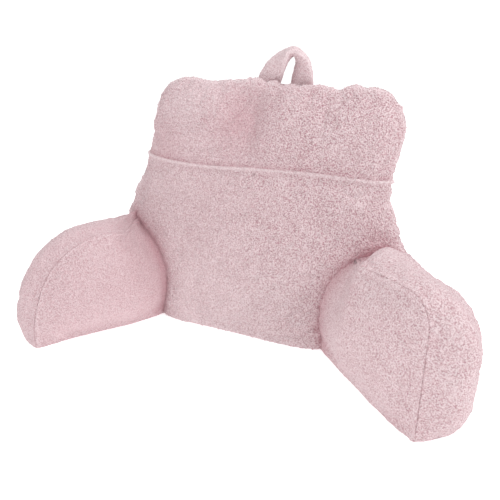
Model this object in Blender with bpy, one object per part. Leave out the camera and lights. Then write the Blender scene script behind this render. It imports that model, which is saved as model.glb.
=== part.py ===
"""Reading pillow: a stuffed backrest with two splayed arms and a carry handle.

The origin is the middle of the backrest's flat underside. +X is the sitter's
left as they lean on it, +Y is behind the backrest and +Z is up. Metres.
Each sewn panel is a closed solid that holds its share of the filling, and the
seams between panels are gaps of about 0.3 mm with softened edges.
"""
import math

import bmesh
import bpy
import numpy as np
from mathutils import Vector

COLLECTION = "reading_pillow"
CUTTERS = "cutters"

# Clearances and seams
SEAM_GAP = 0.0003
CUT_CLEARANCE = 0.0006
SEAM_LIP = 0.002
SHARP_DEGREES = 50

# Backrest, seen from the front
BASE_DEPTH = 0.190
WAIST_HEIGHT = 0.312
WAIST_SLOPE = 0.005
CREST_HEIGHT = 0.459
CORNER_RADIUS = 0.066
SIDE_TABLE = (
    # height, left half width, right half width
    (0.000, 0.262, 0.262),
    (0.080, 0.292, 0.286),
    (0.160, 0.310, 0.294),
    (0.215, 0.295, 0.270),
    (0.260, 0.275, 0.252),
    (0.300, 0.261, 0.242),
    (0.325, 0.256, 0.245),
    (0.370, 0.256, 0.254),
    (0.409, 0.253, 0.256),
)
CREST_TABLE = (
    # centre of a dip or rise, half width of it, height of it
    (-0.125, 0.030, -0.004),
    (-0.045, 0.050, 0.004),
    (0.116, 0.022, -0.006),
    (0.175, 0.050, 0.004),
)

# Backrest, seen from the side
PROFILE_TABLE = (
    # height, front face, rim seam, rear face, all measured back from the front edge
    (0.000, -0.006, 0.114, 0.190),
    (0.040, 0.005, 0.104, 0.200),
    (0.100, 0.026, 0.100, 0.210),
    (0.200, 0.058, 0.106, 0.214),
    (0.312, 0.088, 0.125, 0.214),
    (0.360, 0.098, 0.142, 0.216),
    (0.400, 0.108, 0.155, 0.218),
    (0.460, 0.124, 0.165, 0.222),
)
BOTTOM_ROUNDING = 0.014
BOTTOM_LIFT = 0.006
FRONT_EDGE_POWER = 7.0
FRONT_TOP_POWER = 12.0
REAR_EDGE_POWER = 4.0
REAR_TOP_POWER = 7.0
BELLY_ROOT = 0.5
HOLLOW_DEPTH = 0.010
HOLLOW_CENTRE = -0.030
HOLLOW_HALF_WIDTH = 0.035
HOLLOW_FADE_BELOW_WAIST = 0.020
HOLLOW_FADE = 0.050
SEAM_TUCK = 0.005
SEAM_TUCK_WIDTH = 0.010
LOWER_TUCK = 0.3

BACK_COLUMNS = 28
LOWER_ROWS = 13
UPPER_ROWS = 10
LOWER_CROWDING = 0.75
UPPER_CROWDING = 0.55
EDGE_CROWDING = 0.6

# Arms, each measured from a front bottom corner of the backrest
ARM_ROOT_X = 0.175
ARM_ROOT_DEPTH = -0.075
ARM_TABLE = (
    # name, side, splay in degrees, length, outer bow, front height,
    # outer drop, corner along, corner up, outer corner growth, gusset bulge, bulge at floor,
    # crown share left at the floor
    ("left", -1, 39.0, 0.252, 0.004, 0.202, 0.006, 0.150, 0.178, -0.016, 0.028, 0.60, 0.15),
    ("right", 1, 47.7, 0.262, 0.024, 0.234, 0.016, 0.044, 0.046, 0.035, 0.032, 0.45, 0.35),
)
ROOT_TABLE = (
    # name, seam height at the root, seam height ahead of it, then the rounded
    # shoulder's height, width and shift
    ("left", 0.174, 0.190, 0.178, 0.150, 0.009),
    ("right", 0.178, 0.214, 0.195, 0.115, 0.000),
)
GUSSET_WIDTH = 0.085
BOW_HEIGHT = 0.080
ROOT_RISE = 0.088
TOP_RISE_START = 0.050
FLOOR_TUCK_HEIGHT = 0.050
ARM_CROWN_IN = 0.022
ARM_CROWN_OUT = 0.024
ARM_TOP_BULGE = 0.45
ARM_FILL_POWER_UP = 4
ARM_FILL_POWER_ALONG = 5
GUSSET_SWELL_POWER = 0.8
FLOOR_SWELL_POWER = 8
ROOT_FLARE = 0.058
ROOT_FLARE_AHEAD = 0.075
ROOT_FLARE_BEHIND = 0.045
ROOT_ROUND_START = 0.095
ROOT_ROUND_END = -0.025
ROOT_ROUND_POWER = 2.0
ROOT_ROUND_TOP = 0.995
ROOT_ROUND_SPAN = 0.9
ROOT_CROWN_FADE = 0.6
ARM_COLUMNS = 12
ARM_ROWS = 9
GUSSET_RINGS = 7
CURVE_SAMPLES = 200
TOUCH = 1e-6

# Carry handle
HANDLE_TABLE = (
    # across, back from the front edge, height, share of half a turn
    (-0.029, 0.196, 0.425, 0.00),
    (-0.023, 0.194, 0.456, 0.04),
    (-0.004, 0.192, 0.490, 0.20),
    (0.026, 0.191, 0.516, 0.50),
    (0.045, 0.193, 0.497, 0.76),
    (0.045, 0.195, 0.457, 0.92),
    (0.043, 0.196, 0.425, 1.00),
)
HANDLE_WIDTH = 0.047
HANDLE_THICKNESS = 0.015
HANDLE_STEPS = 24
HANDLE_SIDES = 10

# Cloth
FLEECE_PINK = (0.72, 0.50, 0.53, 1.0)
FLEECE_ROUGHNESS = 0.95


def clear_scene():
    for item in list(bpy.data.objects):
        bpy.data.objects.remove(item)
    for group in list(bpy.data.collections):
        bpy.data.collections.remove(group)


def new_collection(name):
    group = bpy.data.collections.new(name)
    bpy.context.scene.collection.children.link(group)
    return group


def fleece(name):
    """Gives a piece its own matt pink cloth."""
    material = bpy.data.materials.new(name)
    material.use_nodes = True
    shader = material.node_tree.nodes["Principled BSDF"]
    shader.inputs["Base Color"].default_value = FLEECE_PINK
    shader.inputs["Roughness"].default_value = FLEECE_ROUGHNESS
    shader.inputs["Metallic"].default_value = 0.0
    return material


def column(table, index):
    return np.array([row[index] for row in table])


def smooth_step(value):
    value = np.clip(value, 0.0, 1.0)
    return value * value * (3.0 - 2.0 * value)


def smooth_table(table, index, where):
    """Reads a table column at any place, as a smooth curve through its rows."""
    places = column(table, 0)
    values = column(table, index)
    slopes = np.gradient(values, places)
    where = np.clip(where, places[0], places[-1])
    row = np.clip(np.searchsorted(places, where, side="right") - 1, 0, len(places) - 2)
    step = places[row + 1] - places[row]
    t = (where - places[row]) / step
    start = (1 + 2 * t) * (1 - t) ** 2 * values[row] + t * (1 - t) ** 2 * step * slopes[row]
    end = t * t * (3 - 2 * t) * values[row + 1] + t * t * (t - 1) * step * slopes[row + 1]
    return start + end


def grid_loop(grid):
    """Lists the points round the edge of a grid, in order."""
    return np.concatenate([grid[0, :-1], grid[:-1, -1], grid[-1, :0:-1], grid[:0:-1, 0]])


def stacked_solid(name, first, loops, last, group):
    """Closes two grids of points into one solid, through any loops between them."""
    rows, columns = first.shape[:2]
    shape = bmesh.new()
    start = [[shape.verts.new(Vector(p)) for p in line] for line in first]
    end = [[shape.verts.new(Vector(p)) for p in line] for line in last]
    for r in range(rows - 1):
        for c in range(columns - 1):
            for sheet in (start, end):
                low, high = sheet[r], sheet[r + 1]
                shape.faces.new((low[c], low[c + 1], high[c + 1]))
                shape.faces.new((low[c], high[c + 1], high[c]))
    edge = [(0, c) for c in range(columns - 1)]
    edge += [(r, columns - 1) for r in range(rows - 1)]
    edge += [(rows - 1, c) for c in range(columns - 1, 0, -1)]
    edge += [(r, 0) for r in range(rows - 1, 0, -1)]
    rings = [[start[r][c] for r, c in edge]]
    rings += [[shape.verts.new(Vector(p)) for p in loop] for loop in loops]
    rings += [[end[r][c] for r, c in edge]]
    count = len(edge)
    for low, high in zip(rings, rings[1:]):
        for k in range(count):
            after = (k + 1) % count
            shape.faces.new((low[after], low[k], high[k]))
            shape.faces.new((low[after], high[k], high[after]))
    bmesh.ops.recalc_face_normals(shape, faces=shape.faces)
    if shape.calc_volume(signed=True) < 0:
        bmesh.ops.reverse_faces(shape, faces=shape.faces)
    mesh = bpy.data.meshes.new(name)
    shape.to_mesh(mesh)
    shape.free()
    mesh.shade_smooth()
    mesh.set_sharp_from_angle(angle=math.radians(SHARP_DEGREES))
    piece = bpy.data.objects.new(name, mesh)
    group.objects.link(piece)
    mesh.materials.append(fleece(name + "_fleece"))
    return piece


def crest_line(x):
    """Gives the height of the crest, with its shallow dips and rises."""
    height = np.full_like(x, CREST_HEIGHT)
    for centre, reach, rise in CREST_TABLE:
        height = height + rise * np.exp(-((x - centre) / reach) ** 2)
    return height


def crowded(low, high, count, share):
    """Spaces values from low to high, closer together at both ends."""
    even = np.linspace(0, 1, count)
    return low + (high - low) * (even - share * np.sin(2 * math.pi * even) / (2 * math.pi))


def coons(bottom, top, left, right, rows=None):
    """Fills the space between four edge curves with a grid, rows from bottom to top."""
    v = np.linspace(0, 1, len(left)) if rows is None else rows
    v = v[:, None, None]
    u = np.linspace(0, 1, len(bottom))[None, :, None]
    across = (1 - v) * bottom[None] + v * top[None]
    upward = (1 - u) * left[:, None] + u * right[:, None]
    ends = (1 - v) * (1 - u) * bottom[0] + (1 - v) * u * bottom[-1]
    ends = ends + v * (1 - u) * top[0] + v * u * top[-1]
    return across + upward - ends


def back_shares():
    """Spaces the columns of the backrest from -1 to 1, closer together at both sides."""
    even = np.linspace(-1, 1, BACK_COLUMNS + 1)
    return EDGE_CROWDING * np.sin(even * math.pi / 2) + (1 - EDGE_CROWDING) * even


def back_outline_grid(u):
    """Lays a grid of (x, z) over the backrest, from the floor to the crest."""
    corner = CORNER_RADIUS * (1 - math.sqrt(0.5))
    below = crowded(0, WAIST_HEIGHT, LOWER_ROWS + 1, LOWER_CROWDING)
    above = crowded(WAIST_HEIGHT, CREST_HEIGHT - corner, UPPER_ROWS + 1, UPPER_CROWDING)
    heights = np.concatenate([below, above[1:]])
    left = np.stack([-smooth_table(SIDE_TABLE, 1, heights), heights], axis=1)
    right = np.stack([smooth_table(SIDE_TABLE, 2, heights), heights], axis=1)
    for side, sign in ((left, -1), (right, 1)):
        over = np.clip((heights - (CREST_HEIGHT - CORNER_RADIUS)) / CORNER_RADIUS, 0, 1)
        side[:, 0] -= sign * CORNER_RADIUS * (1 - np.sqrt(1 - over ** 2))
    x_top = np.where(u < 0, -u * left[-1, 0], u * right[-1, 0])
    to_corner = np.minimum(x_top - left[-1, 0], right[-1, 0] - x_top) + corner
    inside = np.clip(1 - to_corner / CORNER_RADIUS, 0, 1)
    fall = CORNER_RADIUS * (1 - np.sqrt(1 - inside ** 2))
    top = np.stack([x_top, crest_line(x_top) - fall], axis=1)
    top[0] = left[-1]
    top[-1] = right[-1]
    x_bottom = np.where(u < 0, -u * left[0, 0], u * right[0, 0])
    bottom = np.stack([x_bottom, np.zeros_like(x_bottom)], axis=1)
    grid = coons(bottom, top, left, right, heights / heights[-1])
    return with_waist_row(grid, u)


def waist_height_at(u):
    return WAIST_HEIGHT + WAIST_SLOPE * np.sin(math.pi * u)


def with_waist_row(grid, u):
    """Moves the rows up or down so that one of them lies along the waist seam."""
    x = grid[:, :, 0]
    z = grid[:, :, 1]
    waist = waist_height_at(u)
    old = z[LOWER_ROWS]
    below = z * waist / old
    above = waist + (z - old) * (z[-1] - waist) / (z[-1] - old)
    row = np.arange(len(z))[:, None]
    z_new = np.where(row <= LOWER_ROWS, below, above)
    return np.stack([x, z_new], axis=2)


def belly(u, v, edge_power, top_power):
    """Gives how full the filling is, 1 in the middle and 0 at the rim."""
    across = np.clip(1 - np.abs(u) ** edge_power, 0, 1) ** BELLY_ROOT
    upward = np.clip(1 - v ** top_power, 0, 1) ** BELLY_ROOT
    return across * upward


def back_surfaces():
    """Works out the front, rim and rear surfaces of the backrest on one grid."""
    u = back_shares()
    grid = back_outline_grid(u)
    x = grid[:, :, 0]
    z = grid[:, :, 1]
    v = z / z[-1]
    rim = smooth_table(PROFILE_TABLE, 2, z)
    front_depth = rim - smooth_table(PROFILE_TABLE, 1, z)
    rear_depth = smooth_table(PROFILE_TABLE, 3, z) - rim
    near_floor = np.clip(1 - z / BOTTOM_ROUNDING, 0, 1)
    lift = BOTTOM_LIFT * (1 - np.sqrt(1 - near_floor ** 2))
    hollow = HOLLOW_DEPTH * np.exp(-((x - HOLLOW_CENTRE) / HOLLOW_HALF_WIDTH) ** 2)
    fade_start = WAIST_HEIGHT - HOLLOW_FADE_BELOW_WAIST
    hollow = hollow * smooth_step((z - fade_start) / HOLLOW_FADE)
    tuck = SEAM_TUCK * np.exp(-((z - waist_height_at(u)) / SEAM_TUCK_WIDTH) ** 2)
    front_fill = belly(u, v, FRONT_EDGE_POWER, FRONT_TOP_POWER)
    rear_fill = belly(u, v, REAR_EDGE_POWER, REAR_TOP_POWER)
    face = rim - SEAM_LIP - (front_depth - lift - hollow) * front_fill
    rear = rim + SEAM_LIP + (rear_depth - lift) * rear_fill
    depths = (face + LOWER_TUCK * tuck * front_fill, face + tuck * front_fill,
              rim - SEAM_GAP / 2, rim + SEAM_GAP / 2, rear)
    return [np.stack([x, y - BASE_DEPTH / 2, z], axis=2) for y in depths]


def lifted(rows, amount):
    """Shifts the first or last row of a patch a little, to leave the waist seam open."""
    moved = rows.copy()
    index = 0 if amount > 0 else -1
    moved[index, :, 2] += amount
    return moved


def build_back(group):
    low_face, high_face, rim_front, rim_rear, rear = back_surfaces()
    half_gap = SEAM_GAP / 2
    low = slice(0, LOWER_ROWS + 1)
    high = slice(LOWER_ROWS, None)
    lower = stacked_solid("backrest_front", lifted(low_face[low], -half_gap), [],
                          lifted(rim_front[low], -half_gap), group)
    upper = stacked_solid("headrest_front", lifted(high_face[high], half_gap), [],
                          lifted(rim_front[high], half_gap), group)
    rear_piece = stacked_solid("rear_panel", rear, [], rim_rear, group)
    return [lower, upper, rear_piece]


def root_share(s):
    """Gives how far an arm place lies in the rounded root, 0 ahead of it and 1 inside."""
    return smooth_step((ROOT_ROUND_START - s) / (ROOT_ROUND_START - ROOT_ROUND_END))


class Arm:
    """Holds one arm's sizes and turns its own (along, across, up) places into the frame."""

    def __init__(self, row):
        (self.name, self.side, splay, self.length, self.bow, self.front_height,
         self.drop, self.corner_along, self.corner_up, self.growth,
         self.bulge, self.floor_bulge, self.floor_fill) = row
        root = [line for line in ROOT_TABLE if line[0] == self.name][0]
        self.root_height, self.middle_height = root[1:3]
        self.round_height, self.round_width, self.round_shift = root[3:]
        angle = math.radians(splay)
        self.base = np.array([self.side * ARM_ROOT_X, -BASE_DEPTH / 2, 0.0])
        self.along = np.array([self.side * math.sin(angle), -math.cos(angle), 0.0])
        self.across = np.array([self.side * math.cos(angle), math.sin(angle), 0.0])

    def corner(self, share):
        """The reach of the rounded corner and the panel's height, inner to outer."""
        along = self.corner_along + share * self.growth
        up = self.corner_up + share * self.growth
        return along, up, share * self.drop

    def top_edge(self, share, steps):
        """The top edge of the side panel, from the root to the middle of the corner."""
        along, up, drop = self.corner(share)
        length = self.length + share * self.bow
        corner_start = length - along
        flat = np.linspace(ARM_ROOT_DEPTH, corner_start, CURVE_SAMPLES)
        turn = np.linspace(0, math.pi / 4, CURVE_SAMPLES)[1:]
        s = np.concatenate([flat, corner_start + along * np.sin(turn)])
        z = np.concatenate([np.zeros_like(flat), up * (np.cos(turn) - 1)])
        height = self.root_height
        height = height + (self.middle_height - self.root_height) * smooth_step(s / ROOT_RISE)
        rise = smooth_step((s - TOP_RISE_START) / (corner_start - TOP_RISE_START))
        height = height + (self.front_height - drop - self.middle_height) * rise
        return resample(np.stack([s, z + height], axis=1), steps)

    def front_edge(self, share, steps):
        """The front edge of the side panel, from the floor to the middle of the corner."""
        along, up, drop = self.corner(share)
        corner_base = self.front_height - drop - up
        rise = np.linspace(0, corner_base, CURVE_SAMPLES)
        turn = np.linspace(0, math.pi / 4, CURVE_SAMPLES)[1:]
        s = np.concatenate([np.zeros_like(rise), along * (np.cos(turn) - 1)])
        z = np.concatenate([rise, corner_base + up * np.sin(turn)])
        s = s + self.length + share * self.bow * smooth_step(z / BOW_HEIGHT)
        return resample(np.stack([s, z], axis=1), steps)

    def outline(self, share):
        """Lays a grid of (along, up) over a side panel; share runs from inner to outer."""
        top = self.top_edge(share, ARM_COLUMNS + 1)
        front = self.front_edge(share, ARM_ROWS + 1)
        root = np.stack([np.full(ARM_ROWS + 1, ARM_ROOT_DEPTH),
                         np.linspace(0, top[0, 1], ARM_ROWS + 1)], axis=1)
        bottom = np.stack([np.linspace(ARM_ROOT_DEPTH, front[0, 0], ARM_COLUMNS + 1),
                           np.zeros(ARM_COLUMNS + 1)], axis=1)
        return coons(bottom, top, root, front)

    def place(self, s, t, z):
        """Flares and rounds the root, and turns arm places into the frame."""
        share = np.clip(t / GUSSET_WIDTH, 0, None)
        reach = np.where(s > 0, ROOT_FLARE_AHEAD, ROOT_FLARE_BEHIND)
        t = t + ROOT_FLARE * np.exp(-(s / reach) ** 2) * share
        up = np.clip(z / self.round_height, 0, ROOT_ROUND_TOP)
        shoulder = 1 - (1 - up ** ROOT_ROUND_POWER) ** (1 / ROOT_ROUND_POWER)
        outer = GUSSET_WIDTH + ROOT_FLARE * np.exp(-(s / reach) ** 2)
        lean = self.round_width * shoulder + self.round_shift
        lean = lean * np.clip(1 - t / (ROOT_ROUND_SPAN * outer), 0, 1)
        rounding = root_share(s)
        t = np.where(t < 0, t * (1 - ROOT_CROWN_FADE * rounding), t) + rounding * lean
        point = self.base + s[..., None] * self.along + t[..., None] * self.across
        point[..., 2] += z
        return point

    def side_fill(self, grid):
        """Gives how full a side panel is, 1 in the middle and 0 at its seams."""
        rows, columns = grid.shape[:2]
        v = np.linspace(0, 1, rows)[:, None]
        u = np.linspace(0, 1, columns)[None, :]
        above_floor = smooth_step(grid[:, :, 1] / FLOOR_TUCK_HEIGHT)
        floor = self.floor_fill + (1 - self.floor_fill) * above_floor
        upward = np.sqrt(1 - v ** ARM_FILL_POWER_UP)
        along = np.sqrt(1 - u ** ARM_FILL_POWER_ALONG)
        return upward * along * floor

    def ring(self, share):
        """One loop round the gusset, bulged along the top and the front."""
        loop = grid_loop(self.outline(share))
        swell = self.bulge * math.sin(math.pi * share) ** GUSSET_SWELL_POWER
        ahead = np.roll(loop, -1, axis=0) - np.roll(loop, 1, axis=0)
        normal = np.stack([ahead[:, 1], -ahead[:, 0]], axis=1)
        normal /= np.linalg.norm(normal, axis=1)[:, None]
        normal[:, 1] *= ARM_TOP_BULGE
        on_floor = np.arange(len(loop)) <= ARM_COLUMNS
        normal[on_floor, 1] = 0.0
        toward_front = np.clip(loop[on_floor, 0] / self.length, 0, 1)
        normal[on_floor, 0] = toward_front ** FLOOR_SWELL_POWER
        low = np.sin(np.clip(loop[:, 1] / FLOOR_TUCK_HEIGHT, 0, 1) * math.pi / 2)
        normal *= (self.floor_bulge + (1 - self.floor_bulge) * low)[:, None]
        at_root = loop[:, 0] < ARM_ROOT_DEPTH + TOUCH
        normal[at_root] = 0.0
        return loop + swell * normal

    def build(self, group):
        inner_edge = SEAM_LIP
        outer_edge = GUSSET_WIDTH - SEAM_LIP
        inner = self.outline(0.0)
        outer = self.outline(1.0)
        s, z = inner[:, :, 0], inner[:, :, 1]
        face = self.place(s, -ARM_CROWN_IN * self.side_fill(inner), z)
        wall = self.place(s, np.full_like(s, inner_edge), z)
        pieces = [stacked_solid(f"arm_{self.name}_inner", face, [], wall, group)]
        first = self.place(s, np.full_like(s, inner_edge + SEAM_GAP), z)
        so, zo = outer[:, :, 0], outer[:, :, 1]
        last = self.place(so, np.full_like(so, outer_edge - SEAM_GAP), zo)
        loops = []
        for step in range(1, GUSSET_RINGS + 1):
            share = step / (GUSSET_RINGS + 1)
            loop = self.ring(share)
            across = inner_edge + share * (outer_edge - inner_edge)
            loops.append(self.place(loop[:, 0], np.full(len(loop), across), loop[:, 1]))
        pieces.append(stacked_solid(f"arm_{self.name}_gusset", first, loops, last, group))
        wall = self.place(so, np.full_like(so, outer_edge), zo)
        crown = ARM_CROWN_OUT * self.side_fill(outer)
        face = self.place(so, GUSSET_WIDTH + crown, zo)
        pieces.append(stacked_solid(f"arm_{self.name}_outer", face, [], wall, group))
        return pieces


def resample(points, count):
    """Spaces points evenly along a line of points."""
    steps = np.linalg.norm(np.diff(points, axis=0), axis=1)
    run = np.concatenate([[0], np.cumsum(steps)])
    even = np.linspace(0, run[-1], count)
    return np.stack([np.interp(even, run, points[:, k]) for k in range(2)], axis=1)


def grown_copy(piece, group, amount):
    """Makes a cutter a little larger than a piece, so that the cut leaves a gap."""
    mesh = piece.data.copy()
    shape = bmesh.new()
    shape.from_mesh(mesh)
    shape.normal_update()
    for vert in shape.verts:
        vert.co += vert.normal * amount
    shape.to_mesh(mesh)
    shape.free()
    cutter = bpy.data.objects.new(piece.name + "_cutter", mesh)
    cutter.hide_render = True
    cutter.display_type = "WIRE"
    group.objects.link(cutter)
    return cutter


def cut_with(piece, cutters):
    for cutter in cutters:
        modifier = piece.modifiers.new("clear_" + cutter.name, "BOOLEAN")
        modifier.operation = "DIFFERENCE"
        modifier.object = cutter


def build_handle(group):
    """A padded strap that twists half a turn as it arches over from foot to foot."""
    step = np.linspace(0, len(HANDLE_TABLE) - 1, HANDLE_STEPS + 1)
    table = [(k,) + row for k, row in enumerate(HANDLE_TABLE)]
    x, y, z, twist = [smooth_table(table, k, step) for k in (1, 2, 3, 4)]
    path = np.stack([x, y - BASE_DEPTH / 2, z], axis=1)
    ahead = np.gradient(path, axis=0)
    ahead[:, 1] = 0.0
    ahead /= np.linalg.norm(ahead, axis=1)[:, None]
    beside = np.stack([-ahead[:, 2], np.zeros_like(step), ahead[:, 0]], axis=1)
    angle = (twist * math.pi)[:, None]
    wide = np.cos(angle) * beside + np.sin(angle) * np.array([0.0, 1.0, 0.0])
    thin = np.cross(ahead, wide)
    around = np.linspace(0, 2 * math.pi, HANDLE_SIDES, endpoint=False)
    shape = bmesh.new()
    rings = []
    for centre, w, t in zip(path, wide, thin):
        ring = []
        for a in around:
            offset = w * math.cos(a) * HANDLE_WIDTH / 2
            offset = offset + t * math.sin(a) * HANDLE_THICKNESS / 2
            ring.append(shape.verts.new(Vector(centre + offset)))
        rings.append(ring)
    for low, high in zip(rings, rings[1:]):
        for k in range(HANDLE_SIDES):
            after = (k + 1) % HANDLE_SIDES
            shape.faces.new((low[k], low[after], high[after], high[k]))
    shape.faces.new(rings[0][::-1])
    shape.faces.new(rings[-1])
    bmesh.ops.recalc_face_normals(shape, faces=shape.faces)
    mesh = bpy.data.meshes.new("handle")
    shape.to_mesh(mesh)
    shape.free()
    mesh.shade_smooth()
    piece = bpy.data.objects.new("handle", mesh)
    group.objects.link(piece)
    mesh.materials.append(fleece("handle_fleece"))
    return piece


def main():
    clear_scene()
    group = new_collection(COLLECTION)
    cutters = new_collection(CUTTERS)
    back = build_back(group)
    grown = [grown_copy(piece, cutters, CUT_CLEARANCE) for piece in back]
    for row in ARM_TABLE:
        for piece in Arm(row).build(group):
            cut_with(piece, [grown[0], grown[2]])
    handle = build_handle(group)
    cut_with(handle, [grown[1], grown[2]])


main()
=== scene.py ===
"""Reading pillow in pink curly fleece: the dressed, visible model.

The CAD solids carry the shape. Each cover panel is laid over them again as a
fine closed skin, from the same named sizes. A cloth simulation on the joined
solids gives the stuffed fullness between the sewn lines. Seams, puckers, lumps
of filling and the curls of the pile are then worked into the skins.
Everything is in metres, in the CAD model's own frame.
"""
import math

import bmesh
import bpy
import numpy as np
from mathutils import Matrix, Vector
from mathutils.bvhtree import BVHTree
from mathutils.kdtree import KDTree


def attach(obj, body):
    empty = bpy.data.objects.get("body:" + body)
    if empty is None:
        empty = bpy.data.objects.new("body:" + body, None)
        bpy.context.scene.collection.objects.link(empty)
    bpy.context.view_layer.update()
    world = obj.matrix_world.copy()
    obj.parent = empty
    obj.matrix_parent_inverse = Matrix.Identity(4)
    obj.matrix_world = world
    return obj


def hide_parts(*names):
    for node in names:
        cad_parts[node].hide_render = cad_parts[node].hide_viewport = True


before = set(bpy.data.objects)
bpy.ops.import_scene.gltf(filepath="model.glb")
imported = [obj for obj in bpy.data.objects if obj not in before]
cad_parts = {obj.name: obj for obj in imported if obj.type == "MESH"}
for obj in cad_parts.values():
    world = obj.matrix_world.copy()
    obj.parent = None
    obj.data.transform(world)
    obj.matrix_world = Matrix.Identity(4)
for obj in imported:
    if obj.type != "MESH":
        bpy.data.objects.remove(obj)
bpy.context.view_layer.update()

# Sizes shared with the part's source
SEAM_LIP = 0.002
SEAM_OVERLAP = 0.0008
BASE_DEPTH = 0.190
WAIST_HEIGHT = 0.312
WAIST_SLOPE = 0.005
CREST_HEIGHT = 0.459
CORNER_RADIUS = 0.066
SIDE_TABLE = (
    # height, left half width, right half width
    (0.000, 0.262, 0.262),
    (0.080, 0.292, 0.286),
    (0.160, 0.310, 0.294),
    (0.215, 0.295, 0.270),
    (0.260, 0.275, 0.252),
    (0.300, 0.261, 0.242),
    (0.325, 0.256, 0.245),
    (0.370, 0.256, 0.254),
    (0.409, 0.253, 0.256),
)
CREST_TABLE = (
    # centre of a dip or rise, half width of it, height of it
    (-0.125, 0.030, -0.004),
    (-0.045, 0.050, 0.004),
    (0.116, 0.022, -0.006),
    (0.175, 0.050, 0.004),
)
PROFILE_TABLE = (
    # height, front face, rim seam, rear face, all measured back from the front edge
    (0.000, -0.006, 0.114, 0.190),
    (0.040, 0.005, 0.104, 0.200),
    (0.100, 0.026, 0.100, 0.210),
    (0.200, 0.058, 0.106, 0.214),
    (0.312, 0.088, 0.125, 0.214),
    (0.360, 0.098, 0.142, 0.216),
    (0.400, 0.108, 0.155, 0.218),
    (0.460, 0.124, 0.165, 0.222),
)
BOTTOM_ROUNDING = 0.014
BOTTOM_LIFT = 0.006
FRONT_EDGE_POWER = 7.0
FRONT_TOP_POWER = 12.0
REAR_EDGE_POWER = 4.0
REAR_TOP_POWER = 7.0
BELLY_ROOT = 0.5
HOLLOW_DEPTH = 0.010
HOLLOW_CENTRE = -0.030
HOLLOW_HALF_WIDTH = 0.035
HOLLOW_FADE_BELOW_WAIST = 0.020
HOLLOW_FADE = 0.050
EDGE_CROWDING = 0.6
ARM_ROOT_X = 0.175
ARM_ROOT_DEPTH = -0.075
ARM_TABLE = (
    # name, side, splay in degrees, length, outer bow, front height,
    # outer drop, corner along, corner up, outer corner growth, gusset bulge, bulge at floor,
    # crown share left at the floor
    ("left", -1, 39.0, 0.252, 0.004, 0.202, 0.006, 0.150, 0.178, -0.016, 0.028, 0.60, 0.15),
    ("right", 1, 47.7, 0.262, 0.024, 0.234, 0.016, 0.044, 0.046, 0.035, 0.032, 0.45, 0.35),
)
ROOT_TABLE = (
    # name, seam height at the root, seam height ahead of it, then the rounded
    # shoulder's height, width and shift
    ("left", 0.174, 0.190, 0.178, 0.150, 0.009),
    ("right", 0.178, 0.214, 0.195, 0.115, 0.000),
)
GUSSET_WIDTH = 0.085
BOW_HEIGHT = 0.080
ROOT_RISE = 0.088
TOP_RISE_START = 0.050
FLOOR_TUCK_HEIGHT = 0.050
ARM_CROWN_IN = 0.022
ARM_CROWN_OUT = 0.024
ARM_TOP_BULGE = 0.45
ARM_FILL_POWER_UP = 4
ARM_FILL_POWER_ALONG = 5
GUSSET_SWELL_POWER = 0.8
FLOOR_SWELL_POWER = 8
ROOT_FLARE = 0.058
ROOT_FLARE_AHEAD = 0.075
ROOT_FLARE_BEHIND = 0.045
ROOT_ROUND_START = 0.095
ROOT_ROUND_END = -0.025
ROOT_ROUND_POWER = 2.0
ROOT_ROUND_TOP = 0.995
ROOT_ROUND_SPAN = 0.9
ROOT_CROWN_FADE = 0.6
HANDLE_TABLE = (
    # across, back from the front edge, height, share of half a turn
    (-0.029, 0.196, 0.425, 0.00),
    (-0.023, 0.194, 0.456, 0.04),
    (-0.004, 0.192, 0.490, 0.20),
    (0.026, 0.191, 0.516, 0.50),
    (0.045, 0.193, 0.497, 0.76),
    (0.045, 0.195, 0.457, 0.92),
    (0.043, 0.196, 0.425, 1.00),
)
HANDLE_WIDTH = 0.047
HANDLE_THICKNESS = 0.015

# How finely the skins are laid
SHOWN_SPACING = 0.00155
HIDDEN_SPACING = 0.0026
STRAP_SPACING = 0.0013
CURVE_SAMPLES = 300
EVEN_SAMPLES = 1800
SHARE_SAMPLES = 4001
BACK_SEAM_SAMPLES = 260
ARM_SEAM_SAMPLES = 160
GUSSET_SAMPLES = 50
GUSSET_ROWS = 84
GUSSET_FLOOR_STEPS = 30
ROW_CROWDING = 0.75
ROOT_STEPS = 7
STRAP_LENGTH = 0.2
STRAP_COLUMNS = 84
CURVE_HEIGHT = 0.2
CURVE_ACROSS = 0.1
CURVE_STEP = 1e-4
BACK_MIDDLE = (0.0, 0.02, 0.2)
ARM_MIDDLE = (0.12, 0.045, 0.08)
UPWARD = np.array([0.0, 0.0, 1.0])
TOUCH = 1e-6
TINY = 1e-9
TINY_AREA = 1e-12

# The cloth simulation
VOXEL = 0.006
SIM_FRAMES = 20
SIM_QUALITY = 4
SIM_MASS = 0.15
SIM_STRETCH = 12
SIM_BEND = 0.6
SIM_PRESSURE = 4.0
SIM_SHRINK = -0.02
SIM_INSET = 0.002
SIM_CAP = 0.006
PIN_NEAR = 0.006
PIN_FAR = 0.018
PIN_FLOOR = 0.004
PIN_HOLD = 0.9
BLEND_COUNT = 5
BLEND_NEAR = 0.0015

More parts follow.
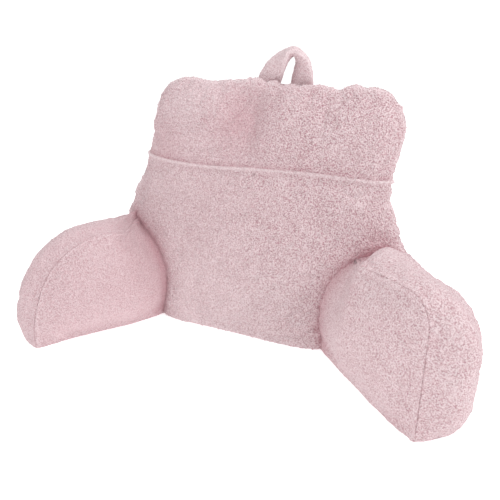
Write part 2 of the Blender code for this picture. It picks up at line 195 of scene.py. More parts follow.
# Pile, lumps and bulges of the filling
CURL_SIZE = 0.0042
CURL_HEIGHT = 0.0015
CURL_EDGE = 1.6
CURL_SEED = 21
GRAIN_SIZE = 0.0030
GRAIN_HEIGHT = 0.0005
GRAIN_SEED = 41
BACK_PILE = 1.6
ARM_PILE = 0.6
STRAP_PILE = 0.8
LUMP_SIZE = 0.075
LUMP_HEIGHT = 0.0022
LUMP_SEED = 51
LUMPS_FADE = 0.02
BULGE_TABLE = (
    # across, back, height, reach, how far out
    (0.436, -0.215, 0.030, 0.028, 0.008),
    (0.405, -0.252, 0.004, 0.030, -0.007),
    (0.430, -0.137, 0.120, 0.060, -0.005),
    (-0.349, -0.298, 0.100, 0.050, -0.003),
    (0.104, 0.072, 0.459, 0.030, 0.004),
    (-0.052, 0.072, 0.462, 0.030, 0.003),
    (-0.175, 0.072, 0.456, 0.030, 0.003),
    (-0.272, 0.015, 0.262, 0.035, -0.003),
    (0.318, -0.094, 0.215, 0.040, 0.004),
    (-0.318, -0.290, 0.015, 0.035, 0.008),
    (-0.290, -0.031, 0.190, 0.030, 0.004),
    (-0.272, -0.019, 0.180, 0.018, 0.007),
    (0.212, -0.065, 0.182, 0.012, 0.004),
)
HEAD_TABLE = (
    # across, height, half width, half height, how far out
    (-0.042, 0.420, 0.046, 0.060, -0.015),
    (-0.125, 0.425, 0.045, 0.040, 0.008),
)

# Seams, turned edges and gathers. A lip is a height, a distance from the seam and a
# width. Gathers are a height, a size, a reach and a seed.
SEAM_TURN = 0.006
SEAM_FILL = 0.0035
SEAM_FILL_WIDTH = 0.007
SEAM_DIP_WIDTH = 0.0016
PANEL_DIP = 0.0018
PANEL_LIP = (0.0012, 0.004, 0.003)
# Painted highlight on the arm panels' lip
PANEL_LIP_PAINTED_HIGHLIGHT = (-0.1, 0.005, 0.003)
GUSSET_DIP = 0.0012
ARM_GATHERS = (0.0018, 0.011, 0.014, 64)
RIM_FILL = 0.0012
RIM_FILL_WIDTH = 0.005
RIM_STILL = 0.008
RIM_KEEP = 0.040
RIM_GATHERS = (0.0058, 0.016, 0.016, 61)
WAIST_LIP = (0.0050, 0.0026, 0.0048)
WAIST_EDGE = 0.0010
WAIST_EDGE_WIDTH = 0.0040
LOWER_GATHERS = (0.0012, 0.020, 0.016, 62)
UPPER_GATHERS = (0.0014, 0.022, 0.018, 63)
STRAP_WIDE = 0.53
STRAP_THICK = 0.64
STRAP_ROUNDING = 0.8
STRAP_EDGE_RADIUS = 0.012
STRAP_DIP = 0.0012
STRAP_GATHERS = (0.0010, 0.010, 0.010, 66)

# Where the backrest and the arms press on each other, and where they meet the floor
CREASE_SEARCH = 0.08
CREASE_DEPTH = 0.008
CREASE_WIDTH = 0.009
HOLLOW_BESIDE = 0.005
HOLLOW_REACH = 0.034
PRESS_DEPTH = 0.003
PRESS_WIDTH = 0.005
TRIM_DEPTH = 0.022
FAN_SHARE = 0.6
FLOOR_ROLL = 0.005
ARM_FLOOR_ROLL = 0.0035
FLOOR_ROLL_HEIGHT = 0.016
FLOOR_GAP = 0.0002

# Painted light and shade, with some plain tone, from -1 (pale, painted highlight) to 1 (deep,
# painted shade), and the curls' contrast
# Painted shade in the creases beside the arms and in the hollows beside them
CREASE_PAINTED_SHADE_WIDTH = 0.011
CREASE_PAINTED_SHADE = 0.6
HOLLOW_PAINTED_SHADE = 0.30
# Painted highlight along the rim seam
RIM_PAINTED_HIGHLIGHT = -0.35
RIM_PAINTED_HIGHLIGHT_WIDTH = 0.008
# Painted highlight on the waist lip, and painted shade just above the waist seam
WAIST_LIP_PAINTED_HIGHLIGHT = (-0.5, 0.0030, 0.0028)
WAIST_PAINTED_SHADE = 0.30
WAIST_PAINTED_SHADE_WIDTH = 0.008
# Painted light from below, paler towards the floor
LOW_PAINTED_LIGHT = -0.22
LOW_PAINTED_LIGHT_HEIGHT = 0.16
# Painted shade on the arms in the crease beside the backrest
ARM_CREASE_PAINTED_SHADE = 0.5
# The strap is paler overall and paler still along its edges
STRAP_TONE = -0.25
STRAP_EDGE_PALENESS = -0.4
STRAP_EDGE_PALENESS_WIDTH = 0.004
# How strongly the curl pattern's painted shade and highlights show across the backrest, weaker
# on the left and stronger on the right
BACK_CURL_LEFT = 0.85
BACK_CURL_RIGHT = 1.35
BACK_CURL_SPAN = 0.190
ARM_CLOTH = {
    # how deep or pale the arm's pink is, and how strongly its curl pattern shows
    "left": (0.12, 0.68),
    "right": (-0.02, 0.98),
}
# Painted shade in the head's hollows and painted highlight on its mounds
HEAD_PAINTED_SHADING_TABLE = (
    # across, height, half width, half height, share of painted shade (below 0, painted
    # highlight)
    (-0.052, 0.395, 0.050, 0.055, 0.36),
    (-0.215, 0.340, 0.050, 0.050, 0.18),
    (0.180, 0.340, 0.070, 0.060, -0.10),
    (-0.150, 0.430, 0.055, 0.040, -0.15),
)

# The cloth's colours and textures. A range maps its first two values to the last two.
WHITE = (1.0, 1.0, 1.0, 1.0)
# Pale and deep pinks of the curl pattern: partly plain tone, partly painted shade between the
# curls and painted highlights on their tips
PINK_LIGHT = (0.82, 0.672, 0.692, 1.0)
PINK_DEEP = (0.50, 0.280, 0.310, 1.0)
# Deep pink for painted shade in creases and hollows and for the deeper arm tone; pale pink for
# painted highlights and light, and for the strap's paler tone
PINK_DEEP_TONE_AND_PAINTED_SHADE = (0.51, 0.245, 0.282, 1.0)
PINK_PALE_TONE_AND_PAINTED_LIGHT = (0.90, 0.77, 0.785, 1.0)
CLOTH_TABLE = (
    ("Roughness", 0.92),
    ("Metallic", 0.0),
    ("Specular IOR Level", 0.15),
    ("Sheen Weight", 0.45),
    ("Sheen Roughness", 0.35),
    ("Sheen Tint", (1.0, 0.93, 0.94, 1.0)),
)
COVER_CURL_SCALE = 350.0
COVER_BUMP = 0.6
STRAP_CURL_SCALE = 370.0
STRAP_BUMP = 0.55
BUMP_DISTANCE = 0.0030
CURL_SMOOTHNESS = 0.25
HAIRS_FINER = 1.2
HAIRS_DETAIL = 1.0
HAIRS_ROUGHNESS = 0.5
CLOUD_SCALE = 16.0
CLOUD_DETAIL = 3.0
# Painted shade in the gaps between the curls and painted highlight and shade in the fine flecks;
# the clouds are plain tone
PAINTED_CREVICE_SHADE_RANGE = (0.10, 0.75, 0.0, 0.60)
PAINTED_FLECK_SHADING_RANGE = (0.38, 0.62, 0.35, -0.35)
CLOUD_RANGE = (0.3, 0.7, -0.07, 0.07)
MIDDLE_TONE = 0.3

# Camera, stage and light
CAMERA_AZIMUTH = 23.6259
CAMERA_ELEVATION = 24.0563
CAMERA_DISTANCE = 1.13329
CAMERA_TARGET = (0.021269, -0.095, 0.184235)
CAMERA_LENS = 44.2307
SENSOR_WIDTH = 36.0
FLOOR_HALF = 60.0
SKY = 0.66
PAPER_TABLE = (
    ("Base Color", (0.75, 0.75, 0.75, 1.0)),
    ("Emission Color", WHITE),
    ("Emission Strength", 0.62),
    ("Roughness", 0.9),
    ("Specular IOR Level", 0.0),
)
LIGHT_TARGET = (0.0, -0.05, 0.2)
LIGHT_TABLE = (
    # name, place, size, power
    ("left_box", (-1.3, -1.3, 2.1), 1.0, 15.0),
    ("right_box", (2.0, -0.5, 1.6), 1.0, 18.5),
    ("top_box", (0.8, 0.7, 2.2), 1.2, 13.0),
)


def column(table, index):
    return np.array([row[index] for row in table])


def smooth_step(value):
    value = np.clip(value, 0.0, 1.0)
    return value * value * (3.0 - 2.0 * value)


def smooth_table(table, index, where):
    """Reads a table column at any place, as a smooth curve through its rows."""
    places = column(table, 0)
    values = column(table, index)
    slopes = np.gradient(values, places)
    where = np.clip(where, places[0], places[-1])
    row = np.clip(np.searchsorted(places, where, side="right") - 1, 0, len(places) - 2)
    step = places[row + 1] - places[row]
    t = (where - places[row]) / step
    start = (1 + 2 * t) * (1 - t) ** 2 * values[row] + t * (1 - t) ** 2 * step * slopes[row]
    end = t * t * (3 - 2 * t) * values[row + 1] + t * t * (t - 1) * step * slopes[row + 1]
    return start + end


def running_length(points):
    """Gives the distance run along a line of points."""
    steps = np.linalg.norm(np.diff(points, axis=0), axis=1)
    return np.concatenate([[0.0], np.cumsum(steps)])


def evenly(curve, low, high, spacing):
    """Chooses values from low to high whose points lie evenly along a curve."""
    values = np.linspace(low, high, EVEN_SAMPLES)
    run = running_length(curve(values))
    count = max(2, int(round(run[-1] / spacing)))
    return np.interp(np.linspace(0, run[-1], count + 1), run, values)


# Noise made from a hashed lattice, the same in every run

def lattice(i, j, k, seed):
    """Gives a fixed value from 0 to 1 for each lattice point."""
    mixed = (i * 73856093) ^ (j * 19349663) ^ (k * 83492791) ^ (seed * 2654435761)
    mixed = mixed & 0xFFFFFFFF
    mixed = ((mixed ^ (mixed >> 13)) * 1274126177) & 0xFFFFFFFF
    mixed = ((mixed ^ (mixed >> 16)) * 2246822519) & 0xFFFFFFFF
    mixed = mixed ^ (mixed >> 15)
    return (mixed & 0xFFFFFF) / float(0xFFFFFF)


def soft_noise(points, size, seed):
    """Smooth noise from -1 to 1 with features about as large as size."""
    place = points / size
    base = np.floor(place).astype(np.int64)
    part = place - base
    part = part * part * (3 - 2 * part)
    total = np.zeros(len(points))
    for a in (0, 1):
        for b in (0, 1):
            for c in (0, 1):
                weight = np.where(a, part[:, 0], 1 - part[:, 0])
                weight = weight * np.where(b, part[:, 1], 1 - part[:, 1])
                weight = weight * np.where(c, part[:, 2], 1 - part[:, 2])
                total += weight * lattice(base[:, 0] + a, base[:, 1] + b, base[:, 2] + c, seed)
    return total * 2 - 1


def curl_cells(points, size, seed):
    """Round tufts: 1 at the middle of a tuft and 0 where two of them meet."""
    place = points / size
    base = np.floor(place).astype(np.int64)
    nearest = np.full(len(points), 9.0)
    second = np.full(len(points), 9.0)
    for a in (-1, 0, 1):
        for b in (-1, 0, 1):
            for c in (-1, 0, 1):
                i, j, k = base[:, 0] + a, base[:, 1] + b, base[:, 2] + c
                dx = i + lattice(i, j, k, seed) - place[:, 0]
                dy = j + lattice(i, j, k, seed + 1) - place[:, 1]
                dz = k + lattice(i, j, k, seed + 2) - place[:, 2]
                gap = np.sqrt(dx * dx + dy * dy + dz * dz)
                second = np.minimum(second, np.maximum(nearest, gap))
                nearest = np.minimum(nearest, gap)
    return np.clip((second - nearest) * CURL_EDGE, 0, 1)


# The backrest's surfaces

def crest_line(x):
    height = np.full_like(x, CREST_HEIGHT)
    for centre, reach, rise in CREST_TABLE:
        height = height + rise * np.exp(-((x - centre) / reach) ** 2)
    return height


def coons(bottom, top, left, right, across, upward):
    """Fills the space between four edge curves with a grid."""
    v = upward[:, None, None]
    u = across[None, :, None]
    body = (1 - v) * bottom[None] + v * top[None]
    body = body + (1 - u) * left[:, None] + u * right[:, None]
    ends = (1 - v) * (1 - u) * bottom[0] + (1 - v) * u * bottom[-1]
    ends = ends + v * (1 - u) * top[0] + v * u * top[-1]
    return body - ends


def even_share(u):
    """Turns a crowded place across the backrest back into its even share, 0 to 1."""
    even = np.linspace(-1, 1, SHARE_SAMPLES)
    crowded = EDGE_CROWDING * np.sin(even * math.pi / 2) + (1 - EDGE_CROWDING) * even
    return (np.interp(u, crowded, even) + 1) / 2


def waist_height_at(u):
    return WAIST_HEIGHT + WAIST_SLOPE * np.sin(math.pi * u)


CORNER_FALL = CORNER_RADIUS * (1 - math.sqrt(0.5))


def back_outline(u, heights):
    """Lays a grid of (x, z) over the backrest. The waist seam is the row at WAIST_HEIGHT."""
    left = np.stack([-smooth_table(SIDE_TABLE, 1, heights), heights], axis=1)
    right = np.stack([smooth_table(SIDE_TABLE, 2, heights), heights], axis=1)
    for side, sign in ((left, -1), (right, 1)):
        over = np.clip((heights - (CREST_HEIGHT - CORNER_RADIUS)) / CORNER_RADIUS, 0, 1)
        side[:, 0] -= sign * CORNER_RADIUS * (1 - np.sqrt(1 - over ** 2))
    top_height = CREST_HEIGHT - CORNER_FALL
    over = (top_height - (CREST_HEIGHT - CORNER_RADIUS)) / CORNER_RADIUS
    inset = CORNER_RADIUS * (1 - math.sqrt(1 - over ** 2))
    top_left = -float(smooth_table(SIDE_TABLE, 1, np.array([top_height]))[0]) + inset
    top_right = float(smooth_table(SIDE_TABLE, 2, np.array([top_height]))[0]) - inset
    x_top = np.where(u < 0, -u * top_left, u * top_right)
    to_corner = np.minimum(x_top - top_left, top_right - x_top) + CORNER_FALL
    inside = np.clip(1 - to_corner / CORNER_RADIUS, 0, 1)
    fall = CORNER_RADIUS * (1 - np.sqrt(1 - inside ** 2))
    top = np.stack([x_top, crest_line(x_top) - fall], axis=1)
    top[0] = (top_left, top_height)
    top[-1] = (top_right, top_height)
    foot_left = -float(smooth_table(SIDE_TABLE, 1, np.array([0.0]))[0])
    foot_right = float(smooth_table(SIDE_TABLE, 2, np.array([0.0]))[0])
    x_bottom = np.where(u < 0, -u * foot_left, u * foot_right)
    bottom = np.stack([x_bottom, np.zeros_like(x_bottom)], axis=1)
    grid = coons(bottom, top, left, right, even_share(u), heights / top_height)
    crest = top[:, 1]
    old = WAIST_HEIGHT * crest / top_height
    waist = waist_height_at(u)
    z = grid[:, :, 1]
    below = z * waist / old
    above = waist + (z - old) * (crest - waist) / (crest - old)
    low_row = (heights <= WAIST_HEIGHT + TINY)[:, None]
    return grid[:, :, 0], np.where(low_row, below, above), crest


def belly(u, v, edge_power, top_power):
    across = np.clip(1 - np.abs(u) ** edge_power, 0, 1) ** BELLY_ROOT
    upward = np.clip(1 - v ** top_power, 0, 1) ** BELLY_ROOT
    return across * upward


def back_surface(u, heights, kind):
    """Works out the front, rim or rear surface of the backrest."""
    x, z, crest = back_outline(u, heights)
    wide = np.broadcast_to(u, x.shape)
    v = np.clip(z / crest, 0, 1)
    rim = smooth_table(PROFILE_TABLE, 2, z)
    if kind == "rim":
        return np.stack([x, rim - BASE_DEPTH / 2, z], axis=2)
    near_floor = np.clip(1 - z / BOTTOM_ROUNDING, 0, 1)
    lift = BOTTOM_LIFT * (1 - np.sqrt(1 - near_floor ** 2))
    if kind == "front":
        depth = rim - smooth_table(PROFILE_TABLE, 1, z)
        hollow = HOLLOW_DEPTH * np.exp(-((x - HOLLOW_CENTRE) / HOLLOW_HALF_WIDTH) ** 2)
        fade_start = WAIST_HEIGHT - HOLLOW_FADE_BELOW_WAIST
        hollow = hollow * smooth_step((z - fade_start) / HOLLOW_FADE)
        fill = belly(wide, v, FRONT_EDGE_POWER, FRONT_TOP_POWER)
        y = rim + SEAM_OVERLAP - (depth - lift - hollow + SEAM_OVERLAP) * fill
    else:
        depth = smooth_table(PROFILE_TABLE, 3, z) - rim
        fill = belly(wide, v, REAR_EDGE_POWER, REAR_TOP_POWER)
        y = rim - SEAM_OVERLAP + (depth - lift + SEAM_OVERLAP) * fill
    return np.stack([x, y - BASE_DEPTH / 2, z], axis=2)


# The arms' surfaces

class Arm:
    """Holds one arm's sizes and turns its own (along, across, up) places into the frame."""

    def __init__(self, row):
        (self.name, self.side, splay, self.length, self.bow, self.front_height,
         self.drop, self.corner_along, self.corner_up, self.growth,
         self.bulge, self.floor_bulge, self.floor_fill) = row
        root = [line for line in ROOT_TABLE if line[0] == self.name][0]
        self.root_height, self.middle_height = root[1:3]
        self.round_height, self.round_width, self.round_shift = root[3:]
        angle = math.radians(splay)
        self.base = np.array([self.side * ARM_ROOT_X, -BASE_DEPTH / 2, 0.0])
        self.along = np.array([self.side * math.sin(angle), -math.cos(angle), 0.0])
        self.across = np.array([self.side * math.cos(angle), math.sin(angle), 0.0])

    def corner(self, share):
        along = self.corner_along + share * self.growth
        up = self.corner_up + share * self.growth
        return along, up, share * self.drop

    def top_edge(self, share, where):
        along, up, drop = self.corner(share)
        corner_start = self.length + share * self.bow - along
        flat = np.linspace(ARM_ROOT_DEPTH, corner_start, CURVE_SAMPLES)
        turn = np.linspace(0, math.pi / 4, CURVE_SAMPLES)[1:]
        s = np.concatenate([flat, corner_start + along * np.sin(turn)])
        z = np.concatenate([np.zeros_like(flat), up * (np.cos(turn) - 1)])
        height = self.root_height
        height = height + (self.middle_height - self.root_height) * smooth_step(s / ROOT_RISE)
        rise = smooth_step((s - TOP_RISE_START) / (corner_start - TOP_RISE_START))
        height = height + (self.front_height - drop - self.middle_height) * rise
        return resample(np.stack([s, z + height], axis=1), where)

    def front_edge(self, share, where):
        along, up, drop = self.corner(share)
        corner_base = self.front_height - drop - up
        rise = np.linspace(0, corner_base, CURVE_SAMPLES)
        turn = np.linspace(0, math.pi / 4, CURVE_SAMPLES)[1:]
        s = np.concatenate([np.zeros_like(rise), along * (np.cos(turn) - 1)])
        z = np.concatenate([rise, corner_base + up * np.sin(turn)])
        s = s + self.length + share * self.bow * smooth_step(z / BOW_HEIGHT)
        return resample(np.stack([s, z], axis=1), where)

    def outline(self, share, us, vs):
        top = self.top_edge(share, us)
        front = self.front_edge(share, vs)
        root = np.stack([np.full(len(vs), ARM_ROOT_DEPTH), vs * top[0, 1]], axis=1)
        span = ARM_ROOT_DEPTH + us * (front[0, 0] - ARM_ROOT_DEPTH)
        bottom = np.stack([span, np.zeros(len(us))], axis=1)
        return coons(bottom, top, root, front, us, vs)

    def place(self, s, t, z):
        share = np.clip(t / GUSSET_WIDTH, 0, None)
        reach = np.where(s > 0, ROOT_FLARE_AHEAD, ROOT_FLARE_BEHIND)
        t = t + ROOT_FLARE * np.exp(-(s / reach) ** 2) * share
        up = np.clip(z / self.round_height, 0, ROOT_ROUND_TOP)
        shoulder = 1 - (1 - up ** ROOT_ROUND_POWER) ** (1 / ROOT_ROUND_POWER)
        outer = GUSSET_WIDTH + ROOT_FLARE * np.exp(-(s / reach) ** 2)
        lean = self.round_width * shoulder + self.round_shift
        lean = lean * np.clip(1 - t / (ROOT_ROUND_SPAN * outer), 0, 1)
        rounding = smooth_step((ROOT_ROUND_START - s) / (ROOT_ROUND_START - ROOT_ROUND_END))
        t = np.where(t < 0, t * (1 - ROOT_CROWN_FADE * rounding), t) + rounding * lean
        point = self.base + s[..., None] * self.along + t[..., None] * self.across
        point[..., 2] += z
        return point

    def side_face(self, outer, us, vs):
        """The crowned face of the inner or outer side panel."""
        grid = self.outline(1.0 if outer else 0.0, us, vs)
        s, z = grid[:, :, 0], grid[:, :, 1]
        floor = self.floor_fill + (1 - self.floor_fill) * smooth_step(z / FLOOR_TUCK_HEIGHT)
        fill = np.sqrt(1 - vs ** ARM_FILL_POWER_UP)[:, None]
        fill = fill * np.sqrt(1 - us ** ARM_FILL_POWER_ALONG)[None, :] * floor
        edge = SEAM_LIP + SEAM_OVERLAP
        inner_t = edge * (1 - fill) - ARM_CROWN_IN * fill
        outer_t = GUSSET_WIDTH - edge * (1 - fill) + ARM_CROWN_OUT * fill
        return self.place(s, outer_t if outer else inner_t, z)

    def side_wall(self, outer, us, vs):
        grid = self.outline(1.0 if outer else 0.0, us, vs)
        edge = SEAM_LIP + 2 * SEAM_OVERLAP
        across = GUSSET_WIDTH - edge if outer else edge
        return self.place(grid[:, :, 0], np.full(grid.shape[:2], across), grid[:, :, 1])

    def turned_out(self, away, outer):
        """The way out at a seam, halfway between the two panels that meet there."""
        level = self.across if outer else -self.across
        return (away[:, :1] * self.along + away[:, 1:] * UPWARD + level) / math.sqrt(2)

    def panel_ways(self, outer, us, vs):
        """The way out along a side panel's top seam and along its front seam."""
        share = 1.0 if outer else 0.0
        top = np.gradient(self.top_edge(share, us), axis=0)
        front = np.gradient(self.front_edge(share, vs), axis=0)
        top = unit(np.stack([-top[:, 1], top[:, 0]], axis=1))
        front = unit(np.stack([front[:, 1], -front[:, 0]], axis=1))
        return self.turned_out(top, outer), self.turned_out(front, outer)

    def loop_ways(self, outer, floor_share, front_share, top_share):
        """The way out along one seam of the gusset, for each place round its loop."""
        share = 1.0 if outer else 0.0
        loop, away = self.loop(share, floor_share, front_share, top_share)
        away[loop[:, 1] <= 0] = 0.0
        return self.turned_out(away, outer)

    def loop(self, share, floor_share, front_share, top_share):
        """One loop round the gusset, floor, front, top and root, and the way out from it."""
        top = self.top_edge(share, top_share)
        front = self.front_edge(share, front_share)
        span = ARM_ROOT_DEPTH + floor_share * (front[0, 0] - ARM_ROOT_DEPTH)
        floor = np.stack([span, np.zeros_like(span)], axis=1)
        root_up = np.linspace(1, 0, ROOT_STEPS + 1)[:-1] * top[0, 1]
        root = np.stack([np.full(ROOT_STEPS, ARM_ROOT_DEPTH), root_up], axis=1)
        loop = np.concatenate([floor[:-1], front[:-1], top[:0:-1], root])
        ahead = np.roll(loop, -1, axis=0) - np.roll(loop, 1, axis=0)
        return loop, unit(np.stack([ahead[:, 1], -ahead[:, 0]], axis=1))

    def ring(self, share, floor_share, front_share, top_share):
        """One loop of the gusset, bulged as it is stuffed."""
        loop, normal = self.loop(share, floor_share, front_share, top_share)
        normal[:, 1] *= ARM_TOP_BULGE
        on_floor = np.arange(len(loop)) < len(floor_share)
        normal[on_floor, 1] = 0.0
        toward_front = np.clip(loop[on_floor, 0] / self.length, 0, 1)
        normal[on_floor, 0] = toward_front ** FLOOR_SWELL_POWER
        low = np.sin(np.clip(loop[:, 1] / FLOOR_TUCK_HEIGHT, 0, 1) * math.pi / 2)
        normal *= (self.floor_bulge + (1 - self.floor_bulge) * low)[:, None]
        normal[loop[:, 0] < ARM_ROOT_DEPTH + TOUCH] = 0.0
        swell = self.bulge * math.sin(math.pi * share) ** GUSSET_SWELL_POWER
        return loop + swell * normal

    def gusset(self, shares, floor_share, front_share, top_share):
        rows = []
        for share in shares:
            loop = self.ring(share, floor_share, front_share, top_share)
            across = SEAM_LIP + share * (GUSSET_WIDTH - 2 * SEAM_LIP)
            rows.append(self.place(loop[:, 0], np.full(len(loop), across), loop[:, 1]))
        return np.array(rows)


def unit(vectors):
    return vectors / np.maximum(np.linalg.norm(vectors, axis=-1), TOUCH)[..., None]


def resample(points, where):
    """Reads a line of points at shares of its length."""
    run = running_length(points)
    return np.stack([np.interp(where * run[-1], run, points[:, k]) for k in range(2)], axis=1)


# The stuffed fullness, from a cloth simulation on the joined solids

def joined_body(name, nodes):
    """Joins CAD solids into one object with an even skin."""
    joined = bmesh.new()
    for node in nodes:
        joined.from_mesh(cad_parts[node].data)
    mesh = bpy.data.meshes.new(name)
    joined.to_mesh(mesh)
    joined.free()
    body = bpy.data.objects.new(name, mesh)
    bpy.context.scene.collection.objects.link(body)
    remesh = body.modifiers.new("voxel", "REMESH")
    remesh.mode = "VOXEL"
    remesh.voxel_size = VOXEL
    graph = bpy.context.evaluated_depsgraph_get()
    fine = bpy.data.meshes.new_from_object(body.evaluated_get(graph))
    body.modifiers.clear()
    body.data = fine
    return body


def joined_tree(nodes):
    """Joins CAD solids into one skin, to measure from."""
    body = joined_body("joined", nodes)
    shape = bmesh.new()
    shape.from_mesh(body.data)
    tree = BVHTree.FromBMesh(shape)
    shape.free()
    bpy.data.objects.remove(body)
    return tree


def point_tree(points):
    tree = KDTree(len(points))
    for index, place in enumerate(points):
        tree.insert(place, index)
    tree.balance()
    return tree


def read_vectors(points, name):
    """Reads one vector for each point of a mesh."""
    values = np.empty(len(points) * 3)
    points.foreach_get(name, values)
    return values.reshape(-1, 3)


class Fullness:
    """Keeps how far the simulation moved the skin, and reads it anywhere."""

    def __init__(self, name, nodes, seams):
        body = joined_body(name, nodes)
        before = read_vectors(body.data.vertices, "co")
        start = before - read_vectors(body.data.vertices, "normal") * SIM_INSET
        body.data.vertices.foreach_set("co", start.ravel())
        self.pin(body, before, seams)
        cloth = body.modifiers.new("cloth", "CLOTH")
        settings = cloth.settings
        settings.quality = SIM_QUALITY
        settings.mass = SIM_MASS
        settings.tension_stiffness = SIM_STRETCH
        settings.compression_stiffness = SIM_STRETCH
        settings.bending_stiffness = SIM_BEND
        settings.use_pressure = True
        settings.uniform_pressure_force = SIM_PRESSURE
        settings.shrink_min = SIM_SHRINK
        settings.shrink_max = SIM_SHRINK
        settings.vertex_group_mass = "pin"
        settings.effector_weights.gravity = 0
        cloth.point_cache.frame_start = 1
        cloth.point_cache.frame_end = SIM_FRAMES
        scene = bpy.context.scene
        for step in range(1, SIM_FRAMES + 1):
            scene.frame_set(step)
        graph = bpy.context.evaluated_depsgraph_get()
        done = body.evaluated_get(graph).to_mesh()
        self.moved = read_vectors(done.vertices, "co") - before
        scene.frame_set(1)
        bpy.data.objects.remove(body)
        size = np.linalg.norm(self.moved, axis=1)
        self.moved *= np.minimum(1, SIM_CAP / np.maximum(size, TINY))[:, None]
        self.tree = point_tree(before)

    def pin(self, body, before, seams):
        """Holds the cloth along the sewn lines and on the floor."""
        lines = point_tree(seams)
        group = body.vertex_groups.new(name="pin")
        for index, place in enumerate(before):
            gap = lines.find(place)[2]
            weight = 1 - min(1, max(0, (gap - PIN_NEAR) / (PIN_FAR - PIN_NEAR)))
            on_floor = place[2] < PIN_FLOOR
            group.add([index], 1.0 if on_floor else weight * PIN_HOLD, "REPLACE")

    def at(self, points):
        """Reads the movement at any points, blended from the nearest ones."""
        result = np.zeros_like(points)
        for index, point in enumerate(points):
            total = 0.0
            for _, near, gap in self.tree.find_n(point, BLEND_COUNT):
                weight = 1.0 / (gap + BLEND_NEAR) ** 2
                result[index] += weight * self.moved[near]
                total += weight
            result[index] /= total
        return result


def on_fourths(function, grid):
    """Works values out on every fourth line of a grid and fills in between."""
    rows, columns = grid.shape[:2]
    r = np.unique(np.append(np.arange(0, rows, 4), rows - 1))
    c = np.unique(np.append(np.arange(0, columns, 4), columns - 1))
    coarse = function(grid[np.ix_(r, c)].reshape(-1, 3)).reshape(len(r), len(c), -1)
    wide = np.empty((len(r), columns, coarse.shape[2]))
    for row in range(len(r)):
        for k in range(coarse.shape[2]):
            wide[row, :, k] = np.interp(np.arange(columns), c, coarse[row, :, k])
    low = np.clip(np.searchsorted(r, np.arange(rows), side="right") - 1, 0, len(r) - 2)
    share = ((np.arange(rows) - r[low]) / (r[low + 1] - r[low]))[:, None, None]
    return wide[low] * (1 - share) + wide[low + 1] * share


# Working the cloth: normals, seams, lumps and curls

def grid_normals(grid, away_from):
    """Gives the outward direction over a grid."""
    normal = np.cross(np.gradient(grid, axis=1), np.gradient(grid, axis=0))
    normal = normal / np.maximum(np.linalg.norm(normal, axis=2)[:, :, None], TINY_AREA)
    if np.sum(normal * (grid - np.asarray(away_from))) < 0:
        normal = -normal
    return normal


def turned_at(normal, run, way):
    """Turns the outward direction near a seam to the one that its two panels share."""
    share = dip(run, SEAM_TURN)[:, :, None]
    return unit(normal * (1 - share) + way * share)


def edge_runs(grid):
    """Distances over the cloth to the first and last row and to both side columns."""
    down = np.linalg.norm(np.diff(grid, axis=0), axis=2)
    side = np.linalg.norm(np.diff(grid, axis=1), axis=2)
    from_first = np.concatenate([np.zeros((1, grid.shape[1])), np.cumsum(down, axis=0)])
    from_left = np.concatenate([np.zeros((grid.shape[0], 1)), np.cumsum(side, axis=1)], axis=1)
    return {"first": from_first, "last": from_first[-1:] - from_first,
            "left": from_left, "right": from_left[:, -1:] - from_left}


def dip(run, width):
    """A share that is 1 at a line and fades over the width."""
    return np.exp(-(run / width) ** 2)


def lip(run, height, away, width):
    """A rounded ridge that runs beside a line."""
    return height * np.exp(-((run - away) / width) ** 2)


def pile(points, strength):
    """How far the curly pile stands out at each point."""
    flat = points.reshape(-1, 3)
    curls = curl_cells(flat, CURL_SIZE, CURL_SEED)
    grain = soft_noise(flat, GRAIN_SIZE, GRAIN_SEED)
    height = CURL_HEIGHT * (curls - 0.5) + GRAIN_HEIGHT * grain
    return (strength * height).reshape(points.shape[:-1])


def lumps(points, run):
    """Uneven filling, which fades towards the seams."""
    flat = points.reshape(-1, 3)
    coarse = soft_noise(flat, LUMP_SIZE, LUMP_SEED)
    height = coarse + 0.5 * soft_noise(flat, LUMP_SIZE / 2, LUMP_SEED + 1)
    return (LUMP_HEIGHT * height).reshape(run.shape) * (1 - dip(run, LUMPS_FADE))


def bulges(points):
    """Places where the filling stands out more or less."""
    out = np.zeros(points.shape[:2])
    for across, back, height, reach, rise in BULGE_TABLE:
        away = np.linalg.norm(points - np.array([across, back, height]), axis=2)
        out += rise * dip(away, reach)
    return out


def mounds(points, table):
    """Soft mounds and hollows over the head, from a table of them."""
    out = np.zeros(points.shape[:2])
    for across, height, half_width, half_height, rise in table:
        wide = (points[:, :, 0] - across) / half_width
        high = (points[:, :, 2] - height) / half_height
        out += rise * np.exp(-wide ** 2 - high ** 2)
    return out


def gathers(points, run, height, size, reach, seed):
    """Small gathers that the sewn line pulls in, fading away from it."""
    wave = soft_noise(points.reshape(-1, 3), size, seed).reshape(run.shape)
    return height * (wave * np.exp(-run / reach))


